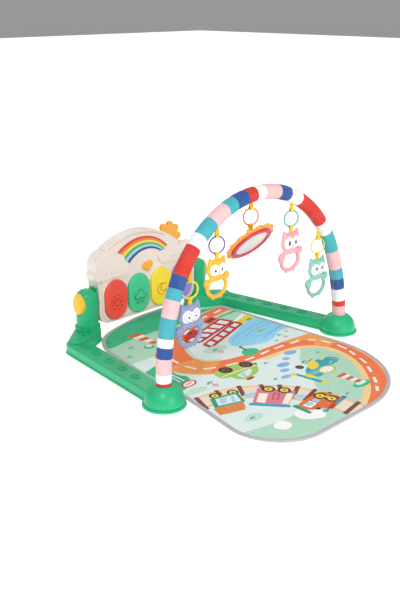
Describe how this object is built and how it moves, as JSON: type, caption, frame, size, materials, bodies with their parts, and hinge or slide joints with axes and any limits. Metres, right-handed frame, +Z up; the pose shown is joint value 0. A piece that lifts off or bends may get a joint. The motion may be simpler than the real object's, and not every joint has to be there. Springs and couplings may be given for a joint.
{
  "type": "activity play gym",
  "caption": "Baby play gym: padded arch with hanging owl rattles and a mirror over a padded mat, floor rails, and a tilting piano panel with press keys.",
  "frame": {"origin": "on the floor under the middle of the whole assembly", "axes": "+Y from the free end of the mat towards the piano panel, +X to the right seen from the free end, +Z up"},
  "size_m": [0.749, 0.8065, 0.4478],
  "materials": {
    "green_plastic": "satin",
    "cream_plastic": "satin",
    "red_key": "satin",
    "green_key": "satin",
    "yellow_key": "satin",
    "purple_key": "satin",
    "orange_plastic": "satin",
    "yellow_plastic": "satin",
    "printed_inlay": "printed",
    "sleeve_fabric": "woven",
    "web_fabric": "woven",
    "mat_fabric": "printed",
    "binding_fabric": "woven",
    "tube_plastic": "matte",
    "ring_purple": "satin",
    "ring_orange": "satin",
    "ring_teal": "satin",
    "ring_lime": "satin",
    "ring_yellow": "satin",
    "owl_yellow": "satin",
    "owl_pink": "satin",
    "owl_mint": "satin",
    "owl_blue": "satin",
    "frame_orange": "satin",
    "bezel_crimson": "satin",
    "mirror_film": "polished",
    "steel": "zinc",
    "pad_rubber": "matte",
    "contact_rubber": "matte",
    "board": "printed circuit board",
    "battery_steel": "satin",
    "black_plastic": "matte",
    "speaker_black": "paper cone"
  },
  "bodies": {
    "base": {"rail_left": "green_plastic", "rail_right": "green_plastic", "rail_base_left": "green_plastic", "rail_base_right": "green_plastic", "base_screws": "steel", "grip_pads": "pad_rubber", "dome_left": "green_plastic", "dome_right": "green_plastic", "column_left": "green_plastic", "column_right": "green_plastic", "lock_spring_left": "steel", "lock_spring_right": "steel", "arch_tube_left": "tube_plastic", "arch_tube_right": "tube_plastic", "arch_tube_top": "tube_plastic", "arch_plugs": "tube_plastic", "sleeve_left": "sleeve_fabric", "sleeve_top": "sleeve_fabric", "sleeve_right": "sleeve_fabric", "arch_loops": "web_fabric", "play_mat": "mat_fabric", "mat_binding": "binding_fabric"},
    "panel": {"panel_front": "cream_plastic", "panel_back": "cream_plastic", "rainbow": "printed_inlay", "sun_badge": "orange_plastic", "battery_door": "cream_plastic", "batteries": "battery_steel", "panel_screws": "steel", "key_contacts": "contact_rubber", "circuit_board": "board", "speaker": "speaker_black", "lock_gear_left": "black_plastic", "lock_gear_right": "black_plastic"},
    "heart_button": {"heart_button": "orange_plastic"},
    "power_switch": {"power_switch": "black_plastic"},
    "lock_button_left": {"lock_button_left": "yellow_plastic"},
    "lock_button_right": {"lock_button_right": "yellow_plastic"},
    "key_red": {"key_red": "red_key"},
    "key_green": {"key_green": "green_key"},
    "key_yellow": {"key_yellow": "yellow_key"},
    "key_purple": {"key_purple": "purple_key"},
    "ring_blue": {"ring_blue": "ring_yellow"},
    "toy_blue": {"tail_blue": "web_fabric", "owl_blue": "owl_blue"},
    "ring_yellow": {"ring_yellow": "ring_purple"},
    "toy_yellow": {"tail_yellow": "web_fabric", "owl_yellow": "owl_yellow"},
    "ring_mirror": {"ring_mirror": "ring_orange"},
    "toy_mirror": {"tail_mirror": "web_fabric", "mirror_frame": "frame_orange", "mirror_bezel": "bezel_crimson", "mirror_glass": "mirror_film"},
    "ring_pink": {"ring_pink": "ring_teal"},
    "toy_pink": {"tail_pink": "web_fabric", "owl_pink": "owl_pink"},
    "ring_mint": {"ring_mint": "ring_lime"},
    "toy_mint": {"tail_mint": "web_fabric", "owl_mint": "owl_mint"}
  },
  "joints": [
    {"name": "panel_tilt", "type": "hinge", "parent": "base", "child": "panel", "pos_m": [0, 0.3595, 0.108], "axis": [1, 0, 0], "range_deg": [-15, 30]},
    {"name": "key_red_press", "type": "slide", "parent": "panel", "child": "key_red", "axis": [0, 1, 0], "range_m": [0, 0.004], "stiffness_N_per_m": 600},
    {"name": "key_green_press", "type": "slide", "parent": "panel", "child": "key_green", "axis": [0, 1, 0], "range_m": [0, 0.004], "stiffness_N_per_m": 600},
    {"name": "key_yellow_press", "type": "slide", "parent": "panel", "child": "key_yellow", "axis": [0, 1, 0], "range_m": [0, 0.004], "stiffness_N_per_m": 600},
    {"name": "key_purple_press", "type": "slide", "parent": "panel", "child": "key_purple", "axis": [0, 1, 0], "range_m": [0, 0.004], "stiffness_N_per_m": 600},
    {"name": "heart_press", "type": "slide", "parent": "panel", "child": "heart_button", "axis": [0, 1, 0], "range_m": [0, 0.0025], "stiffness_N_per_m": 500},
    {"name": "power_slide", "type": "slide", "parent": "panel", "child": "power_switch", "axis": [1, 0, 0], "range_m": [0, 0.006]},
    {"name": "lock_press_left", "type": "slide", "parent": "base", "child": "lock_button_left", "axis": [1, 0, 0], "range_m": [0, 0.003], "stiffness_N_per_m": 800},
    {"name": "lock_press_right", "type": "slide", "parent": "base", "child": "lock_button_right", "axis": [-1, 0, 0], "range_m": [0, 0.003], "stiffness_N_per_m": 800},
    {"name": "ring_blue_swing", "type": "hinge", "parent": "base", "child": "ring_blue", "pos_m": [-0.232, -0.05551, 0.2671], "axis": [0.9511, -0.309, 0], "range_deg": [-25, 25]},
    {"name": "toy_blue_swing", "type": "hinge", "parent": "ring_blue", "child": "toy_blue", "pos_m": [-0.232, -0.05551, 0.2269], "axis": [0.9511, -0.309, 0], "range_deg": [-25, 25]},
    {"name": "ring_yellow_swing", "type": "hinge", "parent": "base", "child": "ring_yellow", "pos_m": [-0.142, -0.05215, 0.3521], "axis": [0.9511, -0.309, 0], "range_deg": [-25, 25]},
    {"name": "toy_yellow_swing", "type": "hinge", "parent": "ring_yellow", "child": "toy_yellow", "pos_m": [-0.142, -0.05215, 0.3119], "axis": [0.9511, -0.309, 0], "range_deg": [-25, 25]},
    {"name": "ring_mirror_swing", "type": "hinge", "parent": "base", "child": "ring_mirror", "pos_m": [-0.026, -0.05061, 0.3971], "axis": [0.9511, -0.309, 0], "range_deg": [-25, 25]},
    {"name": "toy_mirror_swing", "type": "hinge", "parent": "ring_mirror", "child": "toy_mirror", "pos_m": [-0.026, -0.05061, 0.3569], "axis": [0.9511, -0.309, 0], "range_deg": [-25, 25]},
    {"name": "ring_pink_swing", "type": "hinge", "parent": "base", "child": "ring_pink", "pos_m": [0.123, -0.05173, 0.3671], "axis": [0.9511, -0.309, 0], "range_deg": [-25, 25]},
    {"name": "toy_pink_swing", "type": "hinge", "parent": "ring_pink", "child": "toy_pink", "pos_m": [0.123, -0.05173, 0.3269], "axis": [0.9511, -0.309, 0], "range_deg": [-25, 25]},
    {"name": "ring_mint_swing", "type": "hinge", "parent": "base", "child": "ring_mint", "pos_m": [0.231, -0.05545, 0.2761], "axis": [0.9511, -0.309, 0], "range_deg": [-25, 25]},
    {"name": "toy_mint_swing", "type": "hinge", "parent": "ring_mint", "child": "toy_mint", "pos_m": [0.231, -0.05545, 0.2359], "axis": [0.9511, -0.309, 0], "range_deg": [-25, 25]}
  ]
}
